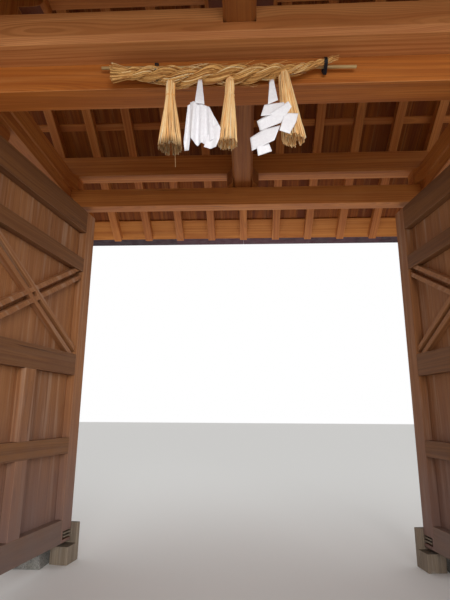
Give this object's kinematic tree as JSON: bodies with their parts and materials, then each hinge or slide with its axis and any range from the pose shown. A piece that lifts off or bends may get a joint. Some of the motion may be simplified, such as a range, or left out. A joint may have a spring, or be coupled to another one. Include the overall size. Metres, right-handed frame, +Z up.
{
  "type": "roofed timber shrine gate",
  "caption": "Roofed timber shrine gate: gable roof on rafters and arms, framed plank leaves standing open on upright hinges, straw rope with tassels and folded paper on the lintel.",
  "frame": {"origin": "on the floor, straight under the ridge, midway across the gate", "axes": "+Z up, +X to the right of someone facing the gate from the front, +Y towards the rear"},
  "size_m": [5.7, 5.42, 5.4433],
  "materials": {
    "frame_timber": "oiled, sun-browned cypress with fine straight grain",
    "roof_board_timber": "planed cypress boards, darker under the roof",
    "leaf_timber": "greyed cypress planks",
    "weathered_timber": "weathered, faintly green timber",
    "foundation_stone": "dressed granite",
    "roof_copper": "brown-purple oxidised copper sheet",
    "hinge_iron": "forged, blackened iron",
    "rice_straw": "dry twisted rice straw",
    "white_paper": "folded white paper",
    "bamboo": "thin dry bamboo",
    "tie_wire": "black coated tie wire and nails"
  },
  "bodies": {
    "gate": {"left_main_post": "frame_timber", "right_main_post": "frame_timber", "left_rear_post": "frame_timber", "right_rear_post": "frame_timber", "base_stones": "foundation_stone", "threshold": "weathered_timber", "crown_beam": "frame_timber", "door_lintel": "frame_timber", "rear_lintel": "frame_timber", "left_arm": "frame_timber", "center_arm": "frame_timber", "right_arm": "frame_timber", "left_side_ties": "frame_timber", "right_side_ties": "frame_timber", "post_brackets": "frame_timber", "front_purlin": "frame_timber", "rear_purlin": "frame_timber", "ridge_beam": "frame_timber", "ridge_struts": "frame_timber", "front_rafters": "frame_timber", "rear_rafters": "frame_timber", "roof_laths": "roof_board_timber", "front_roof_boards": "roof_board_timber", "rear_roof_boards": "roof_board_timber", "front_eave_edge": "roof_copper", "rear_eave_edge": "roof_copper", "front_roof_skin": "roof_copper", "rear_roof_skin": "roof_copper", "ridge_cap": "roof_copper", "left_bargeboards": "frame_timber", "right_bargeboards": "frame_timber", "left_stop_block": "weathered_timber", "right_stop_block": "weathered_timber", "hinge_pintles": "hinge_iron", "rope_pole": "bamboo", "straw_rope": "rice_straw", "straw_tassels": "rice_straw", "paper_streamers": "white_paper", "rope_ties": "tie_wire"},
    "left_leaf": {"left_leaf_uprights": "leaf_timber", "left_leaf_rails": "leaf_timber", "left_leaf_planks": "leaf_timber", "left_leaf_braces": "leaf_timber", "left_leaf_irons": "hinge_iron"},
    "right_leaf": {"right_leaf_uprights": "leaf_timber", "right_leaf_rails": "leaf_timber", "right_leaf_planks": "leaf_timber", "right_leaf_braces": "leaf_timber", "right_leaf_irons": "hinge_iron"}
  },
  "joints": [
    {"name": "left_leaf_hinge", "type": "hinge", "parent": "gate", "child": "left_leaf", "pos_m": [-1.945, -0.397, 1.8], "axis": [0, 0, -1], "range_deg": [0, 82]},
    {"name": "right_leaf_hinge", "type": "hinge", "parent": "gate", "child": "right_leaf", "pos_m": [1.945, -0.397, 1.8], "axis": [0, 0, 1], "range_deg": [0, 82]}
  ]
}
